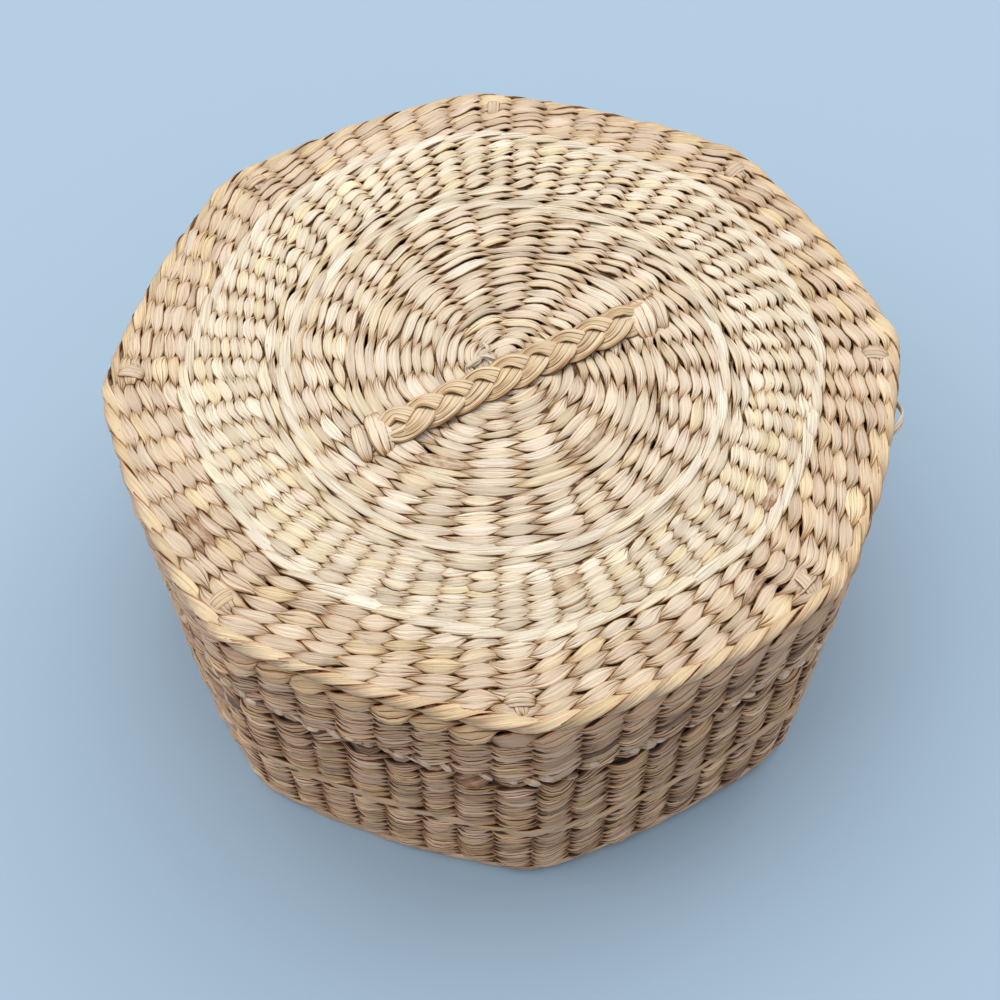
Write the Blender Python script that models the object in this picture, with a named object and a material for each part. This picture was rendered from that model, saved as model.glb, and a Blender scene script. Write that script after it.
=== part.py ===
"""Lidded twined-grass basket: an octagonal body and a lift-off lid with a plaited handle.

The origin is the centre of the underside. +Z is up and one of the eight corners points to -Y.
Lengths are in metres. A radius is taken at a corner of the rounded octagon.
"""

import math

import bmesh
import bpy
from mathutils import Matrix, Vector

# Overall sizes
LID_WIDTH = 0.230  # across opposite corners of the rim rope
RIM_HEIGHT = 0.105  # floor to the top of the rim rope

# Outline of the basket in plan
CORNERS = 8
STEPS_PER_SIDE = 6
CORNER_SHARE = 0.6  # 0 is a circle, 1 is a straight-sided octagon

# Woven layers
WALL_THICKNESS = 0.0040
LID_THICKNESS = 0.0036
BASE_THICKNESS = 0.0040
WALL_BULGE = 0.0003  # how far the wall swells at the accent row
LID_CROWN = 0.0010  # rise of the lid from its edge to its centre
GAP = 0.0003  # between pieces that touch
SKIRT_CLEARANCE = 0.0013  # between the lid's skirt and the body's neck
BODY_INSET = 0.0012  # body's wall inside the face of the skirt
RIM_INSET = 0.0029  # neck's top inside the edge of the lid's weave

# Rows that ring the lid, the base and the wall
ROPE_DIAMETER = 0.0048
ROPE_RISE = 0.0006  # rope's top above the lid's surface
ROPE_OVERHANG = 0.0010  # rope's outer edge beyond the skirt
OUTER_ZONE_WIDTH = 0.0197  # lid's edge in to the middle of the outer ring twist
MIDDLE_ZONE_WIDTH = 0.0284  # between the middles of the two ring twists
RING_WIDTH = 0.0042
RING_HEIGHT = 0.0044
RING_STAND = 0.0009  # ring twist's top above the weave beside it
BASE_RING_HEIGHT = 0.0040
EDGE_DIAMETER = 0.0044
ACCENT_LEVEL = 0.0340
ACCENT_WIDTH = 0.0041
BINDING_DIAMETER = 0.0040

# Skirt and neck
SKIRT_DEPTH = 0.0320  # rope's top down to the last woven row
TRIM_DEPTH = 0.0042  # band of clipped stake ends under it
TRIM_FLARE = 0.0005
SHOULDER_HEIGHT = 0.0070

# Plaited handle
HANDLE_SETBACK = 0.0131  # inner ring twist to the outer side of each end wrap
HANDLE_END = 0.0075  # from the last crossing to the middle of the end wrap
HANDLE_WIDTH = 0.0105
HANDLE_ANGLE = math.radians(26)
HANDLE_OFFSET = Vector((0.0022, -0.0050))
STRAND_COUNT = 3
STRAND_DIAMETER = 0.0024
CROSSING_PITCH = 0.0046  # along the plait
CROSSING_REACH = 1.5  # least distance between two strands for each unit of their rise
WRAP_LENGTH = 0.0050
WRAP_THICKNESS = 0.0013
POINTS_PER_CROSSING = 2.5

# Folded stake ends at the lid's corners
LOOP_SETBACK = 0.0012  # from the edge of the lid's weave
LOOP_LENGTH = 0.0080
LOOP_WIDTH = 0.0055
LOOP_HEIGHT = 0.0016

# Levels and radii that follow from the sizes above
lid_radius = LID_WIDTH / 2
rope_radius = ROPE_DIAMETER / 2
rope_centre = lid_radius - rope_radius
lid_level = RIM_HEIGHT - ROPE_RISE
lid_edge = rope_centre - rope_radius - GAP
outer_ring = lid_edge - OUTER_ZONE_WIDTH
inner_ring = outer_ring - MIDDLE_ZONE_WIDTH
skirt_outer = lid_radius - ROPE_OVERHANG
skirt_inner = skirt_outer - WALL_THICKNESS
body_radius = skirt_outer - BODY_INSET
skirt_bottom = RIM_HEIGHT - SKIRT_DEPTH
trim_bottom = skirt_bottom - GAP - TRIM_DEPTH
neck_bottom_outer = skirt_inner - SKIRT_CLEARANCE
neck_top_outer = lid_edge - RIM_INSET
binding_radius = BINDING_DIAMETER / 2
binding_centre = neck_top_outer - binding_radius
binding_level = lid_level - LID_THICKNESS - GAP - binding_radius
neck_bottom = trim_bottom
shoulder_top = neck_bottom - GAP
accent_radius = body_radius + WALL_BULGE - WALL_THICKNESS / 2
edge_centre = body_radius - EDGE_DIAMETER / 2
strand_radius = STRAND_DIAMETER / 2
handle_tuck = HANDLE_END + WRAP_LENGTH / 2
handle_length = 2 * (inner_ring - RING_WIDTH / 2 - HANDLE_SETBACK - handle_tuck)
crossings = round(handle_length / CROSSING_PITCH)

# Colours of dried grass, linear RGB
DULL_GRASS = (0.50, 0.37, 0.25)
BRIGHT_GRASS = (0.66, 0.52, 0.32)
PALE_GRASS = (0.72, 0.60, 0.40)
ROPE_GRASS = (0.64, 0.48, 0.26)
TAN_GRASS = (0.42, 0.30, 0.19)
CUT_ENDS = (0.62, 0.52, 0.40)

for old in list(bpy.data.objects):
    bpy.data.objects.remove(old, do_unlink=True)


def grass(name, colour, roughness=0.7):
    material = bpy.data.materials.new(name)
    material.use_nodes = True
    shader = material.node_tree.nodes["Principled BSDF"]
    shader.inputs["Base Color"].default_value = (*colour, 1)
    shader.inputs["Roughness"].default_value = roughness
    shader.inputs["Metallic"].default_value = 0
    return material


def plan_factor(angle, share):
    """Radius in this direction over the radius at a corner; share 0 is round."""
    side = 2 * math.pi / CORNERS
    from_corner = (angle + side / 2) % side - side / 2
    octagon = math.cos(side / 2) / math.cos(side / 2 - abs(from_corner))
    corner_share = CORNER_SHARE * share
    return 1 - corner_share + corner_share * octagon


def lid_share(radius):
    """How octagonal the lid is at this radius: round up to the inner ring, full at the edge."""
    return min(1, max(0, (radius - inner_ring) / (lid_edge - inner_ring)))


def crown(radius):
    """Height of the lid's surface above its edge."""
    return LID_CROWN * max(0, 1 - (radius / lid_edge) ** 2)


def flat_share(radius):
    """A wall has the full octagon shape at every radius."""
    return 1


def no_crown(radius):
    return 0


def add_piece(name, mesh, colour, parent=None):
    mesh.materials.append(grass(name, colour))
    piece = bpy.data.objects.new(name, mesh)
    bpy.context.scene.collection.objects.link(piece)
    piece.parent = parent
    return piece


def turned(name, profile, colour, parent=None, share=flat_share, rise=no_crown, smooth=False):
    """Spin a profile of (radius, height) points about Z, then press it to the octagon."""
    shape = bmesh.new()
    points = [shape.verts.new((radius, 0, height)) for radius, height in profile]
    pairs = list(zip(points, points[1:]))
    if profile[0][0] > 0:
        pairs.append((points[-1], points[0]))
    edges = [shape.edges.new(pair) for pair in pairs]
    bmesh.ops.spin(shape, geom=points + edges, cent=(0, 0, 0), axis=(0, 0, 1),
                   angle=2 * math.pi, steps=CORNERS * STEPS_PER_SIDE)
    bmesh.ops.remove_doubles(shape, verts=shape.verts, dist=1e-6)
    for vert in shape.verts:
        radius = math.hypot(vert.co.x, vert.co.y)
        factor = plan_factor(math.atan2(vert.co.y, vert.co.x), share(radius))
        vert.co = (vert.co.x * factor, vert.co.y * factor, vert.co.z + rise(radius))
    bmesh.ops.recalc_face_normals(shape, faces=shape.faces)
    mesh = bpy.data.meshes.new(name)
    shape.to_mesh(mesh)
    shape.free()
    if smooth:
        mesh.shade_smooth()
        mesh.set_sharp_from_angle(angle=math.radians(60))
    return add_piece(name, mesh, colour, parent)


def oval(radius, level, width, height, sides):
    """Closed oval profile with a point on its inner and its outer side."""
    step = 2 * math.pi / sides
    return [(radius + width / 2 * math.cos(step * i), level + height / 2 * math.sin(step * i))
            for i in range(sides)]


def slab(inner, outer, low, high):
    return [(inner, low), (outer, low), (outer, high), (inner, high)]


def disc(radius, low, high):
    """Open profile that starts and ends on the axis, with a ring half way out."""
    half = radius / 2
    return [(0, low), (half, low), (radius, low), (radius, high), (half, high), (0, high)]


def boxed(name, outline, depth, colour, parent):
    """Extrude an outline in XZ along +Y."""
    shape = bmesh.new()
    face = shape.faces.new([shape.verts.new((x, 0, z)) for x, z in outline])
    grown = bmesh.ops.extrude_face_region(shape, geom=[face])
    moved = [item for item in grown["geom"] if isinstance(item, bmesh.types.BMVert)]
    bmesh.ops.translate(shape, verts=moved, vec=(0, depth, 0))
    bmesh.ops.translate(shape, verts=shape.verts, vec=(0, -depth / 2, 0))
    bmesh.ops.recalc_face_normals(shape, faces=shape.faces)
    mesh = bpy.data.meshes.new(name)
    shape.to_mesh(mesh)
    shape.free()
    return add_piece(name, mesh, colour, parent)


def build_body():
    """Base disc, wall, neck and the bound rim that the lid rests on."""
    inner_end = inner_ring - RING_WIDTH / 2 - GAP
    inner_start = inner_ring + RING_WIDTH / 2 + GAP
    base_edge = edge_centre - EDGE_DIAMETER / 2 - GAP

    def base_share(radius):
        return min(1, max(0, (radius - inner_ring) / (base_edge - inner_ring)))

    turned("base_centre_weave", disc(inner_end, 0, BASE_THICKNESS), DULL_GRASS, share=base_share)
    turned("base_ring_twist", oval(inner_ring, BASE_THICKNESS / 2, RING_WIDTH,
                                   BASE_RING_HEIGHT, 8), PALE_GRASS, share=base_share, smooth=True)
    turned("base_outer_weave", slab(inner_start, base_edge, 0, BASE_THICKNESS), TAN_GRASS,
           share=base_share)
    turned("base_edge_twist", oval(edge_centre, EDGE_DIAMETER / 2, EDGE_DIAMETER, EDGE_DIAMETER, 8),
           TAN_GRASS, smooth=True)

    accent_low = ACCENT_LEVEL - ACCENT_WIDTH / 2
    accent_high = ACCENT_LEVEL + ACCENT_WIDTH / 2
    lower_start = EDGE_DIAMETER + GAP
    swell = body_radius + WALL_BULGE
    turned("wall_lower_weave", [(body_radius - WALL_THICKNESS, lower_start),
                                (body_radius, lower_start),
                                (swell, accent_low - GAP),
                                (swell - WALL_THICKNESS, accent_low - GAP)], TAN_GRASS)
    turned("wall_accent_twist", oval(accent_radius, ACCENT_LEVEL, WALL_THICKNESS + WALL_BULGE,
                                     ACCENT_WIDTH, 8), ROPE_GRASS, smooth=True)
    shoulder_start = shoulder_top - SHOULDER_HEIGHT
    turned("wall_upper_weave", [(swell - WALL_THICKNESS, accent_high + GAP),
                                (swell, accent_high + GAP),
                                (body_radius, shoulder_start),
                                (neck_bottom_outer, shoulder_top),
                                (neck_bottom_outer - WALL_THICKNESS, shoulder_top),
                                (body_radius - WALL_THICKNESS, shoulder_start)], TAN_GRASS)
    neck_top = binding_level - binding_radius - GAP
    turned("neck_weave", [(neck_bottom_outer - WALL_THICKNESS, neck_bottom),
                          (neck_bottom_outer, neck_bottom),
                          (neck_top_outer, neck_top),
                          (neck_top_outer - WALL_THICKNESS, neck_top)], DULL_GRASS)
    turned("body_rim_binding", oval(binding_centre, binding_level, BINDING_DIAMETER,
                                    BINDING_DIAMETER, 8), ROPE_GRASS, smooth=True)


def build_lid_top(lid):
    """Three woven zones parted by two raised twist rows, and the rope round the edge."""
    low = -LID_THICKNESS
    half = RING_WIDTH / 2 + GAP
    style = {"parent": lid, "share": lid_share, "rise": crown}
    ring_level = RING_STAND - RING_HEIGHT / 2
    turned("lid_centre_weave", disc(inner_ring - half, low, 0), DULL_GRASS, **style)
    turned("lid_inner_ring_twist", oval(inner_ring, ring_level, RING_WIDTH, RING_HEIGHT, 8),
           PALE_GRASS, smooth=True, **style)
    turned("lid_middle_weave", slab(inner_ring + half, outer_ring - half, low, 0),
           BRIGHT_GRASS, **style)
    turned("lid_outer_ring_twist", oval(outer_ring, ring_level, RING_WIDTH, RING_HEIGHT, 8),
           PALE_GRASS, smooth=True, **style)
    turned("lid_outer_weave", slab(outer_ring + half, lid_edge, low, 0), BRIGHT_GRASS,
           **style)
    turned("lid_rim_rope", oval(rope_centre, ROPE_RISE - rope_radius, ROPE_DIAMETER, ROPE_DIAMETER,
                                8), ROPE_GRASS, parent=lid, smooth=True)


def build_skirt(lid):
    """Woven skirt under the rope and the clipped stake ends along its lower edge."""
    top = ROPE_RISE - ROPE_DIAMETER - GAP
    bottom = skirt_bottom - lid_level
    turned("lid_skirt_weave", slab(skirt_inner, skirt_outer, bottom, top), TAN_GRASS, parent=lid)
    ends_low = bottom - GAP - TRIM_DEPTH
    turned("lid_trimmed_edge", [(skirt_inner, ends_low),
                                (skirt_outer + TRIM_FLARE, ends_low),
                                (skirt_outer + TRIM_FLARE, bottom - GAP - TRIM_DEPTH / 3),
                                (skirt_outer, bottom - GAP),
                                (skirt_inner, bottom - GAP)], CUT_ENDS, parent=lid)


def build_corner_loops(lid):
    """A stake end folded over the last rows at each corner of the lid."""
    radius = lid_edge - LOOP_SETBACK - LOOP_WIDTH / 2
    chamfer = LOOP_HEIGHT / 2
    half = LOOP_LENGTH / 2
    outline = [(-half, 0), (half, 0), (half, LOOP_HEIGHT - chamfer), (half - chamfer, LOOP_HEIGHT),
               (chamfer - half, LOOP_HEIGHT), (-half, LOOP_HEIGHT - chamfer)]
    for index in range(CORNERS):
        angle = 2 * math.pi * index / CORNERS - math.pi / 2
        loop = boxed(f"corner_loop_{index + 1}", outline, LOOP_WIDTH, DULL_GRASS, lid)
        level = crown(radius - LOOP_WIDTH) + GAP
        loop.location = (radius * math.cos(angle), radius * math.sin(angle), level)
        loop.rotation_euler.z = angle - math.pi / 2


def ease(value):
    value = min(1, max(0, value))
    return value * value * (3 - 2 * value)


def strand_point(distance, number):
    """Point of a strand's centre line; distance runs from the middle of the plait."""
    sway = HANDLE_WIDTH / 2 - strand_radius
    lift = (STRAND_DIAMETER + GAP) / CROSSING_REACH
    half = handle_length / 2
    plaited = min(half, max(-half, distance))
    turn = (plaited / handle_length + 0.5) * crossings * math.pi / 3
    turn += 2 * math.pi * number / STRAND_COUNT
    lowered = ease((abs(distance) - half) / (HANDLE_END - WRAP_LENGTH / 2 - strand_radius))
    across = sway * math.sin(turn)
    up = lift * (1 - math.sin(2 * turn)) * (1 - lowered)
    return Vector((distance, across, up + strand_radius + GAP))


def build_handle(lid):
    """Three strands plaited flat on the lid, each end held down by a wide wrap."""
    handle = bpy.data.objects.new("handle_place", None)
    bpy.context.scene.collection.objects.link(handle)
    handle.parent = lid
    handle.location = (HANDLE_OFFSET.x, HANDLE_OFFSET.y, 0)
    handle.rotation_euler.z = HANDLE_ANGLE
    turn = Matrix.Rotation(HANDLE_ANGLE, 3, "Z")
    offset = Vector((HANDLE_OFFSET.x, HANDLE_OFFSET.y, 0))

    def surface(point):
        placed = turn @ Vector((point.x, point.y, 0)) + offset
        return crown(placed.length)

    end = handle_length / 2 + handle_tuck
    count = round(crossings * POINTS_PER_CROSSING)
    for number in range(STRAND_COUNT):
        name = f"handle_strand_{number + 1}"
        curve = bpy.data.curves.new(name, "CURVE")
        curve.dimensions = "3D"
        curve.bevel_depth = strand_radius
        curve.bevel_resolution = 2
        curve.use_fill_caps = True
        spline = curve.splines.new("POLY")
        spline.points.add(count)
        for index in range(count + 1):
            point = strand_point(-end + 2 * end * index / count, number)
            point.z += surface(point)
            spline.points[index].co = (*point, 1)
        add_piece(name, curve, ROPE_GRASS, handle)

    inner_half = (HANDLE_WIDTH / 2 - strand_radius) * math.sin(math.pi / 3) + strand_radius + GAP
    outer_half = inner_half + WRAP_THICKNESS
    inner_top = STRAND_DIAMETER + 2 * GAP
    outer_top = inner_top + WRAP_THICKNESS
    arch = [(inner_half, 0), (outer_half, 0), (outer_half, inner_top), (inner_half, outer_top),
            (-inner_half, outer_top), (-outer_half, inner_top), (-outer_half, 0), (-inner_half, 0),
            (-inner_half, inner_top), (inner_half, inner_top)]
    place = handle_length / 2 + HANDLE_END
    for side, direction in (("left", -1), ("right", 1)):
        wrap = boxed(f"handle_wrap_{side}", arch, WRAP_LENGTH, PALE_GRASS, handle)
        near = Vector((direction * (place - WRAP_LENGTH / 2), 0, 0))
        wrap.location = (direction * place, 0, surface(near) + GAP)
        wrap.rotation_euler.z = math.pi / 2


lid_place = bpy.data.objects.new("lid_place", None)
bpy.context.scene.collection.objects.link(lid_place)
lid_place.location = (0, 0, lid_level)

build_body()
build_lid_top(lid_place)
build_skirt(lid_place)
build_corner_loops(lid_place)
build_handle(lid_place)
bpy.context.view_layer.update()
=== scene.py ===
import math

import bpy
import numpy as np
from mathutils import Matrix, Vector


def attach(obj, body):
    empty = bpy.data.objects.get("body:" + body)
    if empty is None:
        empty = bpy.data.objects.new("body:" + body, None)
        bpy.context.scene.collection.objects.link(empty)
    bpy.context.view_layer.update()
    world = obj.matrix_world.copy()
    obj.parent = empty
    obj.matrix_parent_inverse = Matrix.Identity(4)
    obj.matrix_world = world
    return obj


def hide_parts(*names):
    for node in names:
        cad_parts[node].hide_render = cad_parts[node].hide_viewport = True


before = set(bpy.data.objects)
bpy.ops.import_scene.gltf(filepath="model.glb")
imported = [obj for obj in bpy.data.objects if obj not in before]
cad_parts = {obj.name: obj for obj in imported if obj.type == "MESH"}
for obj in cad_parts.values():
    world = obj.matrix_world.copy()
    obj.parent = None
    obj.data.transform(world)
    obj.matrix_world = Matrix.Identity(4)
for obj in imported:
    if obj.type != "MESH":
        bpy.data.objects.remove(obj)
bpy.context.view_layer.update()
print("frame loaded:", len(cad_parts), "CAD nodes")

# Lengths below are millimetres unless a note says otherwise; meshes are scaled to metres at the end.
mm = 0.001
tau = 2 * math.pi

outline = {
    "corners": 8,
    "cornerShare": 0.6,  # 0 is a circle, 1 a straight-sided octagon
    "cornerRounding": 0.035,  # radians
    "roundInside": 61.8,  # radius below which the rows are circles
    "lidEdge": 109.9,
    "lidMiddle": 102.6,  # level of the middle of the lid's weave
    "lidCrown": 1.0,
    "lidWave": 0.3,  # how far the lid's edge goes up and down, three times round
    "rim": {"radius": 111.8, "level": 102.4, "round": 0.75, "lean": math.radians(40)},
    "skirtMiddle": 112.0,
    "skirtTop": 99.9,
    "skirtBottom": 73.0,
    "wallMiddle": 110.8,
    "wallBulge": 0.3,
    "bulgeReach": 16,
    "footDepth": 0.8,  # how far the wall is drawn in at its foot
    "footHeight": 8,
    "accentLevel": 34.0,
    "shoulderStart": 61.2,
    "shoulderTop": 68.2,
    "neckMiddle": 106.7,
    "neckTopMiddle": 105.0,
    "neckTop": 96.2,
    "binding": {"radius": 104.6, "level": 98.0, "lean": math.radians(50)},
    "baseMiddle": 2.0,
    "baseHollow": 0.5,
}
# the rings are not quite round the middle: distance each radius is drawn toward +Y
ringDrift = {"radius": [0, 62, 90, 111], "shift": [0, -0.4, 3.0, 0.4]}


def planFactor(angle, share):
    # how far the rounded octagon stands from its corner circle at this angle
    half = math.pi / outline["corners"]
    away = (np.asarray(angle) + half) % (2 * half) - half
    away = np.sqrt(away**2 + outline["cornerRounding"] ** 2)
    k = outline["cornerShare"] * share
    return 1 - k + k * math.cos(half) / np.cos(half - away)


def ease(value):
    value = np.clip(value, 0.0, 1.0)
    return value * value * (3 - 2 * value)


def ringPoint(angle, radius, level, share):
    reach = radius * planFactor(angle, share)
    return np.stack([reach * np.cos(angle), reach * np.sin(angle), level + 0 * reach], -1)


def lidShare(radius):
    inside = outline["roundInside"]
    return np.clip((radius - inside) / (outline["lidEdge"] - inside), 0, 1)


# The faces that the rows lie on, as points at an angle and a place s along the face's profile.
def lidTop(angle, s):
    radius = s + np.interp(s, ringDrift["radius"], ringDrift["shift"]) * np.sin(angle)
    rise = outline["lidCrown"] * (1 - (s / outline["lidEdge"]) ** 2)
    wave = outline["lidWave"] * np.cos(3 * angle + 1.0) * s / outline["lidEdge"]
    return ringPoint(angle, radius, outline["lidMiddle"] + rise + wave, lidShare(s))


def rimFace(angle, s):
    # the lid's rounded edge: s runs over its top, outward and down
    rim = outline["rim"]
    around = rim["lean"] + s / rim["round"]
    radius = rim["radius"] + rim["round"] * np.sin(around)
    return ringPoint(angle, radius, rim["level"] + rim["round"] * np.cos(around), 1.0)


def skirtFace(angle, s):
    return ringPoint(angle, outline["skirtMiddle"] + 0 * s, outline["skirtTop"] - s, 1.0)


def wallFace(angle, s):
    swell = outline["wallBulge"] * np.exp(-(((s - outline["accentLevel"]) / outline["bulgeReach"]) ** 2))
    start, top = outline["shoulderStart"], outline["shoulderTop"]
    drawn = ease((s - start) / (top - start)) * (outline["wallMiddle"] - outline["neckMiddle"])
    foot = outline["footDepth"] * ease((outline["footHeight"] - s) / outline["footHeight"])
    return ringPoint(angle, outline["wallMiddle"] + swell - drawn - foot, s, 1.0)


def neckFace(angle, s):
    up = (s - outline["shoulderTop"]) / (outline["neckTop"] - outline["shoulderTop"])
    radius = outline["neckMiddle"] + (outline["neckTopMiddle"] - outline["neckMiddle"]) * up
    return ringPoint(angle, radius, s, 1.0)


def bindingFace(angle, s):
    # the slope that the bound rim lies on: s runs inward and up
    slope = outline["binding"]
    radius = slope["radius"] - s * math.cos(slope["lean"])
    return ringPoint(angle, radius, slope["level"] + s * math.sin(slope["lean"]), 1.0)


def baseFace(angle, s):
    hollow = outline["baseHollow"] * (1 - (s / outline["lidEdge"]) ** 2)
    return ringPoint(angle, s, outline["baseMiddle"] + hollow, lidShare(s))


def unit(v):
    return v / np.maximum(np.linalg.norm(v, axis=-1, keepdims=True), 1e-12)


def surfaceFrame(surface, angle, s, onLid):
    # point and outward normal
    point = surface(angle, s)
    along = unit(surface(angle, s + 0.05) - surface(angle, s - 0.05))
    around = unit(surface(angle + 0.001, s) - surface(angle - 0.001, s))
    normal = np.cross(along, around) if onLid else np.cross(around, along)
    return point, unit(normal)


# A leaf strand in cross-section: layers of folded leaf with a sharp groove between each two. "front" goes
# across the outer side from one edge to the other, "layer" says which layer each of its points is on, and
# "back" goes across the inner side.
sections = {
    "fine": {"front": [1, 0.9, 0.64, 0.41, 0.34, 0.27, -0.02, -0.26, -0.33, -0.41, -0.72, -0.93, -1],
             "layer": [0, 0, 0, 0, 1, 1, 1, 1, 1, 2, 2, 2, 2], "grooves": (4, 8),
             "back": [-0.6, 0.0, 0.6]},
    "plain": {"front": [1, 0.85, 0.45, 0.2, 0.1, 0.0, -0.45, -0.85, -1],
              "layer": [0, 0, 0, 0, 1, 2, 2, 2, 2], "grooves": (4,), "back": [-0.5, 0.5]},
    "stack": {"front": [1, 0.9, 0.6, 0.5, 0.4, 0.1, 0.0, -0.1, -0.4, -0.5, -0.6, -0.9, -1],
              "layer": [0, 0, 0, 0, 1, 1, 1, 2, 2, 2, 3, 3, 3], "grooves": (3, 6, 9),
              "back": [-0.5, 0.5]},
    "simple": {"front": [1, 0.75, 0.25, -0.25, -0.75, -1], "layer": [0, 0, 1, 1, 2, 2],
               "grooves": (), "back": [-0.5, 0.5]},
}
leafShape = {
    "edge": 3.4,  # higher is flatter, with blunter edges
    "layerEdge": 6,
    "backDepth": 0.8,  # the back's depth, as a share of the front's height
    "edgeShadePower": 11,  # higher keeps the painted edge shade nearer to the edges
    "tuckStart": 0.3,  # where the part under the row above starts, and how far it goes
    "tuckReach": 0.6,
    "backShade": 0.2,
    "coveredShade": 0.6,
}


def sectionPlaces(name):
    return np.array(sections[name]["front"] + sections[name]["back"], float)


def perLayer(name, values):
    # spread one value per layer over the points of the section
    return values[:, sections[name]["layer"] + [1] * len(sections[name]["back"])]


def foldMarks(name, inner, groove, edge, tuck=0.0, covered=1.0):
    # painted shade at each point: little inside a layer, more in grooves, at edges and on the part under the
    # row above
    places, section = sectionPlaces(name), sections[name]
    fold = inner[:, None] + edge * np.abs(places[None]) ** leafShape["edgeShadePower"]
    fold = fold + tuck * ease((-places[None] - leafShape["tuckStart"]) / leafShape["tuckReach"])
    for index in section["grooves"]:
        fold[:, index] += groove
    # the back is deep in shade where the leaf lies over a stake, and the inner face where it goes behind
    behind = edge * (leafShape["backShade"] + leafShape["coveredShade"] * np.asarray(covered))
    fold[:, len(section["front"]):] = np.reshape(behind, (-1, 1))
    return np.clip(fold, 0, 1)


leafMarks = ("tone", "warm", "mark", "fold", "cut")  # what the leaf's material reads at each point; the fourth is painted shade


def leafStrand(path, outward, halfWidth, halfThick, name, along, closed=False, lean=0.0, warp=0.0,
               depth=0.0, layers=None, **look):
    # a flat leaf strand: its rings along a path, and its look at each point
    section, count = sections[name], len(path)

    def tall(values):
        return np.broadcast_to(values, (count,))[:, None]

    ahead = np.roll(path, -1, 0) - np.roll(path, 1, 0) if closed else np.gradient(path, axis=0)
    tangent = unit(ahead)
    normal = unit(outward - (outward * tangent).sum(-1, keepdims=True) * tangent)
    across = np.cross(tangent, normal)
    cos, sin = np.cos(tall(lean)), np.sin(tall(lean))
    leanAcross, leanNormal = across * cos + normal * sin, normal * cos - across * sin
    front, back = np.array(section["front"], float), np.array(section["back"], float)
    u = front + tall(warp) * (1 - front**2)
    height = np.maximum(1 - np.abs(u) ** leafShape["edge"], 0) ** 0.5 * tall(halfThick)
    height[:, list(section["grooves"])] -= tall(depth)
    if layers is not None:
        height += layers[:, section["layer"]] * np.maximum(1 - np.abs(u) ** leafShape["layerEdge"], 0)
    under = -leafShape["backDepth"] * np.sqrt(1 - back**2) * tall(halfThick)
    u = np.concatenate([u, np.tile(back, (count, 1))], 1)
    height = np.concatenate([height, under], 1)
    rings = path[:, None] + leanAcross[:, None] * (tall(halfWidth) * u)[..., None]
    rings = rings + leanNormal[:, None] * height[..., None]
    one = {"rings": rings, "closed": closed, "along": along, "across": sectionPlaces(name)}
    for key in leafMarks:
        value = np.asarray(look.get(key, 0.0), float)
        one[key] = np.broadcast_to(value[:, None] if value.ndim == 1 else value, rings.shape[:2])
    return one


leafRun = {
    "pads": (3, 11),  # a leaf lasts from 3 to 10 pads, then another is spliced in
    "bleachedMark": (0.3, 0.7),
    "bruisedMark": (0.3, 0.8),
}


def leafRuns(rng, pads, style):
    # tone, warmth and mark of each pad
    tone = np.zeros(pads)
    warm = np.zeros(pads)
    at = -int(rng.integers(0, 5))
    while at < pads:
        length = int(rng.integers(*leafRun["pads"]))
        piece = slice(max(at, 0), max(at + length, 0))
        tone[piece] = rng.normal() * style["leafSpread"]
        warm[piece] = rng.normal() * style["warmSpread"]
        at += length
    tone += rng.normal(size=pads) * style["padSpread"]
    warm += rng.normal(size=pads) * style["padSpread"]
    mark = np.zeros(pads)
    chance = rng.random(pads)
    mark[chance < style["bleached"]] = -rng.uniform(*leafRun["bleachedMark"])
    mark[chance > 1 - style["bruised"]] = rng.uniform(*leafRun["bruisedMark"])
    return tone, warm, mark


def packRows(rng, rows, columns, start, end, spread):
    # middle and width of every pad: the rows share out the length along each stake
    wide = 1 + spread * np.clip(rng.normal(size=(rows, columns)), -2, 2)
    wide *= 1 + 0.5 * spread * np.clip(rng.normal(size=(rows, 1)), -1.5, 1.5)
    wide *= (end - start) / wide.sum(0, keepdims=True)
    edge = np.concatenate([np.zeros((1, columns)), np.cumsum(wide, 0)], 0) + start
    return (edge[1:] + edge[:-1]) / 2, wide


def padSpreader(rng, pads, padIndex, style):
    # a function that draws one value per pad and gives it to each of the pad's places
    def vary(name):
        return (style[name] * np.clip(rng.normal(size=pads), -2, 2))[padIndex]

    return vary


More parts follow.
